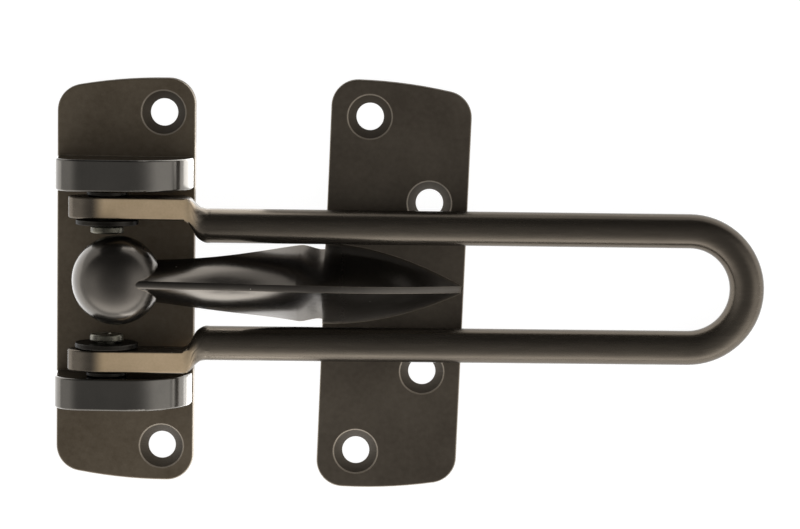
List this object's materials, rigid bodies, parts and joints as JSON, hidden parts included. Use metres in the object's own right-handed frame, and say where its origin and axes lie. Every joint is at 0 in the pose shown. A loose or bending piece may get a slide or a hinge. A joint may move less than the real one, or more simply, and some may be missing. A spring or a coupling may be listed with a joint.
{
  "type": "swing bar door guard",
  "caption": "Swing bar door guard: a U-shaped bar hinged between two lugs of a plate, and a separate ball catch on a ridged arm that the bar's slot closes over.",
  "frame": {"origin": "centre of the hinge bracket's back face, on the mounting plane", "axes": "+X from the hinge bracket towards the catch and the tip of the bar, +Y along the hinge pins, +Z out of the door towards the room"},
  "size_m": [0.1549, 0.0898, 0.0253],
  "materials": {
    "bronze_plate": "oil-rubbed bronze, satin",
    "bronze_bar": "oil-rubbed bronze, smooth, rubbed lighter on the hinge ends",
    "pin_steel": "darkened steel with bright worn spots",
    "washer_steel": "blackened steel with a bright rim"
  },
  "bodies": {
    "mount": {"bracket": "bronze_plate", "ball_catch": "bronze_plate", "pivot_pin_upper": "pin_steel", "pivot_pin_lower": "pin_steel", "pin_washer_upper": "washer_steel", "pin_washer_lower": "washer_steel", "pin_spacer_upper": "washer_steel", "pin_spacer_lower": "washer_steel"},
    "bar": {"swing_bar": "bronze_bar"}
  },
  "joints": [
    {"name": "bar_swing", "type": "hinge", "parent": "mount", "child": "bar", "pos_m": [-0.0031, 0, 0.0112], "axis": [0, -1, 0], "range_deg": [0, 186]}
  ]
}
